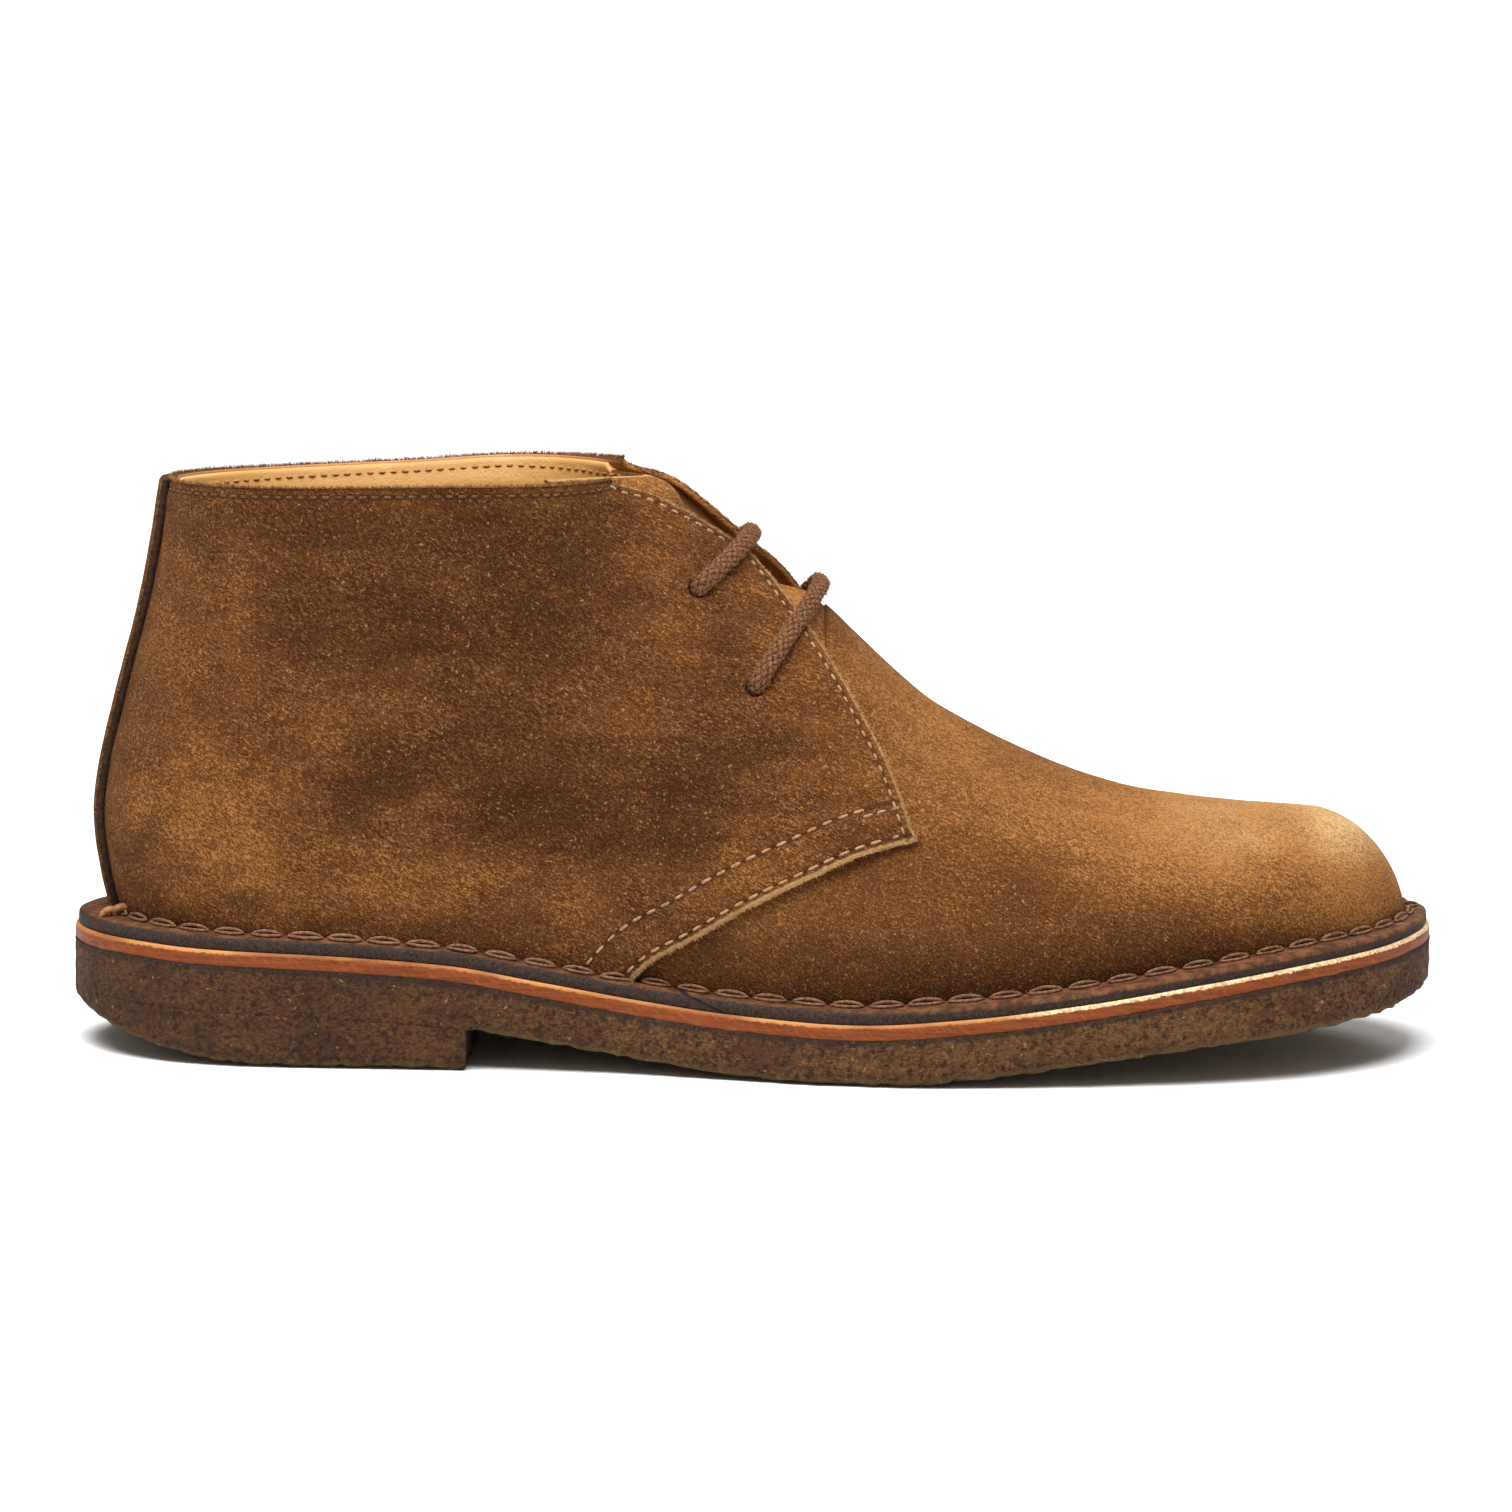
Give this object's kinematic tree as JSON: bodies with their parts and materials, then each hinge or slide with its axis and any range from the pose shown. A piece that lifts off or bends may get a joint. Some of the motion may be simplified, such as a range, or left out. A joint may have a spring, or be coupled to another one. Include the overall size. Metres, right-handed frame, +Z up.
{
  "type": "desert boot",
  "caption": "Ankle-high suede desert boot with open throat, laces over the tongue, leather welt and midsole, and a crepe sole with a low heel.",
  "frame": {"origin": "middle of the footprint's bounding box, on the floor under the sole", "axes": "+X from heel to toe, +Y to the inner side of the foot, -Y to the outer side, +Z up"},
  "size_m": [0.298, 0.1069, 0.1282],
  "materials": {
    "suede": "napped suede, matt, snuff brown",
    "tan_leather": "smooth vegetable-tanned leather",
    "orange_leather": "burnished edge of a leather layer",
    "brown_leather": "waxed, matt",
    "crepe": "plantation crepe, rough at the edge",
    "lace": "waxed cotton braid"
  },
  "bodies": {
    "root": {"outsole": "crepe", "heel": "crepe", "midsole": "orange_leather", "welt": "brown_leather", "insole": "tan_leather", "upper": "suede", "tongue": "suede", "backstay": "suede", "lace_lower": "lace", "lace_upper": "lace"}
  },
  "joints": []
}
